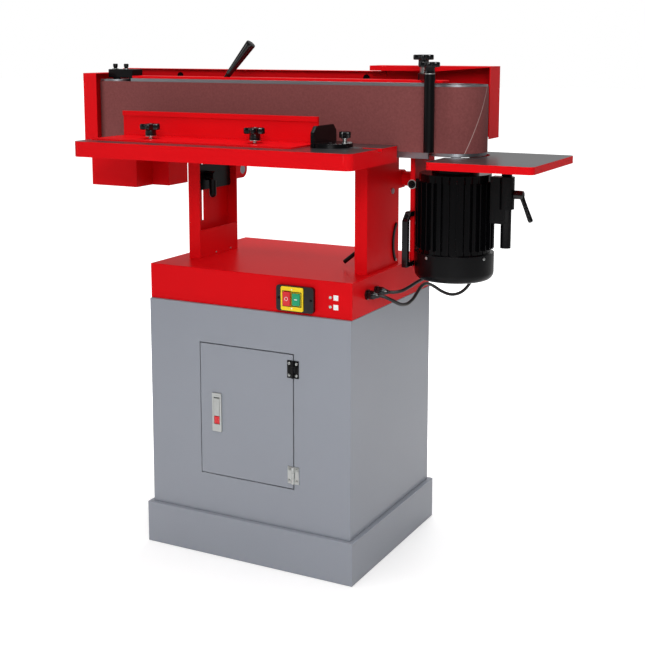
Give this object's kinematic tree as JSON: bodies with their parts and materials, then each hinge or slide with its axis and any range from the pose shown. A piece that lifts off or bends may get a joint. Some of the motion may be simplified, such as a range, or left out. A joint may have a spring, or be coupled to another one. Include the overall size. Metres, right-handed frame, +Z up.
{
  "type": "edge sander",
  "caption": "Floor-standing edge sander: an upright sanding belt on a tilting head with motor, work tables, fence and mitre gauge, on a cabinet stand.",
  "frame": {"origin": "centre of the plinth's underside, on the floor", "axes": "+X along the belt from the idler to the motor, +Y away from the operator, +Z up"},
  "size_m": [1.2625, 0.571, 1.2529],
  "materials": {
    "red_paint": "gloss powder coat",
    "grey_paint": "satin powder coat",
    "black_cast": "black enamel",
    "black_aluminium": "black enamel on a die casting",
    "black_steel": "black enamel on sheet",
    "black_plastic": "moulded",
    "cable_sheath": "matt sheath",
    "bright_steel": "turned and ground",
    "zinc_plate": "bright plating",
    "abrasive": "resin-bonded grit on cloth",
    "yellow_plastic": "moulded",
    "red_plastic": "moulded",
    "green_plastic": "moulded",
    "clear_plastic": "clear lens"
  },
  "bodies": {
    "stand": {"plinth": "grey_paint", "cabinet": "grey_paint", "door_hinge_frame_leaves": "zinc_plate", "base_cap": "red_paint", "switch_box": "black_plastic", "switch_plate": "yellow_plastic", "pilot_lights": "clear_plastic", "cable_glands": "black_plastic", "motor_cable": "cable_sheath", "control_cable": "cable_sheath", "left_column": "red_paint", "right_column": "red_paint", "pivot_shaft": "bright_steel", "table_guide_screw": "bright_steel"},
    "door": {"door": "grey_paint", "door_hinge_door_leaves": "zinc_plate", "latch_housing": "zinc_plate"},
    "latch_lever": {"latch_lever": "zinc_plate"},
    "latch_button": {"latch_button": "red_plastic"},
    "stop_button": {"stop_button": "red_plastic"},
    "start_button": {"start_button": "green_plastic"},
    "tilt_lock": {"tilt_lock_lever": "black_plastic"},
    "main_table": {"table": "red_paint", "left_table_bracket": "black_cast", "right_table_bracket": "black_cast"},
    "table_lock": {"table_lock_lever": "black_plastic"},
    "fence": {"fence": "red_paint"},
    "left_knob": {"left_fence_knob": "black_plastic"},
    "right_knob": {"right_fence_knob": "black_plastic"},
    "mitre_slide": {"mitre_bar": "bright_steel"},
    "mitre_gauge": {"mitre_head": "black_cast"},
    "mitre_clamp": {"mitre_knob": "black_plastic"},
    "head": {"head_base": "red_paint", "pivot_tube": "red_paint", "platen_beam": "red_paint", "platen": "bright_steel", "sanding_belt": "abrasive", "back_guard": "red_paint", "left_cover": "red_paint", "right_cover": "red_paint", "dust_chute": "red_paint", "motor_plate": "red_paint", "tilt_handle": "black_plastic", "motor_housing": "black_aluminium", "fan_cover": "black_steel", "terminal_box": "black_steel", "motor_bearings": "bright_steel", "end_table_bracket": "black_cast"},
    "drive": {"drive_drum": "bright_steel", "motor_shaft": "bright_steel", "cooling_fan": "black_plastic"},
    "idler_carriage": {"idler_yoke": "black_cast"},
    "idler": {"idler_drum": "bright_steel", "idler_bearings": "bright_steel"},
    "tension": {"tension_lever": "black_plastic"},
    "stop": {"work_stop": "black_steel"},
    "stop_pivot": {"stop_pivot_knob": "black_plastic"},
    "stop_post": {"stop_post_knob": "black_plastic"},
    "side_table": {"end_table": "red_paint"},
    "side_clamp": {"end_clamp_lever": "black_plastic"}
  },
  "joints": [
    {"name": "door_swing", "type": "hinge", "parent": "stand", "child": "door", "pos_m": [0.127, -0.2335, 0.3675], "axis": [0, 0, 1], "range_deg": [0, 110]},
    {"name": "latch_lift", "type": "hinge", "parent": "door", "child": "latch_lever", "pos_m": [-0.083, -0.2325, 0.397], "axis": [-1, 0, 0], "range_deg": [0, 60]},
    {"name": "latch_press", "type": "slide", "parent": "door", "child": "latch_button", "axis": [0, 1, 0], "range_m": [0, 0.003], "stiffness_N_per_m": 400, "springref_m": -0.002},
    {"name": "stop_press", "type": "slide", "parent": "stand", "child": "stop_button", "axis": [0, 1, 0], "range_m": [0, 0.003], "stiffness_N_per_m": 400, "springref_m": -0.002},
    {"name": "start_press", "type": "slide", "parent": "stand", "child": "start_button", "axis": [0, 1, 0], "range_m": [0, 0.003], "stiffness_N_per_m": 400, "springref_m": -0.002},
    {"name": "tilt_lock_turn", "type": "hinge", "parent": "stand", "child": "tilt_lock", "pos_m": [0.225, -0.06, 0.768], "axis": [1, 0, 0], "range_deg": [-40, 40]},
    {"name": "table_height", "type": "slide", "parent": "stand", "child": "main_table", "axis": [0, 0, 1], "range_m": [0, 0.03]},
    {"name": "table_lock_turn", "type": "hinge", "parent": "main_table", "child": "table_lock", "pos_m": [-0.205, -0.06, 0.915], "axis": [1, 0, 0], "range_deg": [-60, 60]},
    {"name": "fence_shift", "type": "slide", "parent": "main_table", "child": "fence", "axis": [0, 1, 0], "range_m": [-0.03, 0.03]},
    {"name": "left_knob_turn", "type": "hinge", "parent": "main_table", "child": "left_knob", "pos_m": [-0.272, -0.217, 1.03], "axis": [0, 0, 1], "range_deg": [-170, 170]},
    {"name": "right_knob_turn", "type": "hinge", "parent": "main_table", "child": "right_knob", "pos_m": [0.021, -0.217, 1.03], "axis": [0, 0, 1], "range_deg": [-170, 170]},
    {"name": "mitre_shift", "type": "slide", "parent": "main_table", "child": "mitre_slide", "axis": [1, 0, 0], "range_m": [0, 0.045]},
    {"name": "mitre_swivel", "type": "hinge", "parent": "mitre_slide", "child": "mitre_gauge", "pos_m": [0.197, -0.18, 1.018], "axis": [0, 0, 1], "range_deg": [-20, 20]},
    {"name": "mitre_clamp_turn", "type": "hinge", "parent": "mitre_gauge", "child": "mitre_clamp", "pos_m": [0.23444, -0.18, 1.03], "axis": [0, 0, 1], "range_deg": [-170, 170]},
    {"name": "head_tilt", "type": "hinge", "parent": "stand", "child": "head", "pos_m": [0, 0.088, 0.918], "axis": [-1, 0, 0], "range_deg": [0, 90], "deforming": ["motor_cable", "control_cable"]},
    {"name": "drive_spin", "type": "hinge", "parent": "head", "child": "drive", "pos_m": [0.43, 0.0035, 1.07], "axis": [0, 0, 1], "continuous": true},
    {"name": "belt_tension", "type": "slide", "parent": "head", "child": "idler_carriage", "axis": [1, 0, 0], "range_m": [0, 0.012]},
    {"name": "idler_spin", "type": "hinge", "parent": "idler_carriage", "child": "idler", "pos_m": [-0.516, -0.025, 1.07], "axis": [0, 0, 1], "continuous": true},
    {"name": "tension_swing", "type": "hinge", "parent": "head", "child": "tension", "pos_m": [-0.189, -0.0382, 1.136], "axis": [0, -1, 0], "range_deg": [0, 60]},
    {"name": "stop_swing", "type": "hinge", "parent": "head", "child": "stop", "pos_m": [0.365, -0.0402, 1.166], "axis": [0, 0, 1], "range_deg": [-30, 15]},
    {"name": "stop_pivot_turn", "type": "hinge", "parent": "head", "child": "stop_pivot", "pos_m": [0.365, -0.0402, 1.193], "axis": [0, 0, 1], "range_deg": [-170, 170]},
    {"name": "stop_post_turn", "type": "hinge", "parent": "stop", "child": "stop_post", "pos_m": [0.404, -0.098, 1.18], "axis": [0, 0, 1], "range_deg": [-170, 170]},
    {"name": "side_table_height", "type": "slide", "parent": "head", "child": "side_table", "axis": [0, 0, 1], "range_m": [-0.02, 0.035]},
    {"name": "side_clamp_turn", "type": "hinge", "parent": "head", "child": "side_clamp", "pos_m": [0.585, 0, 0.9055], "axis": [1, 0, 0], "range_deg": [-60, 60]}
  ],
  "couplings": [
    {"joint": "idler_spin", "follows": "drive_spin", "ratio": 1.6477},
    {"joint": "tension_swing", "follows": "belt_tension", "rad_per_m": 87.266}
  ]
}
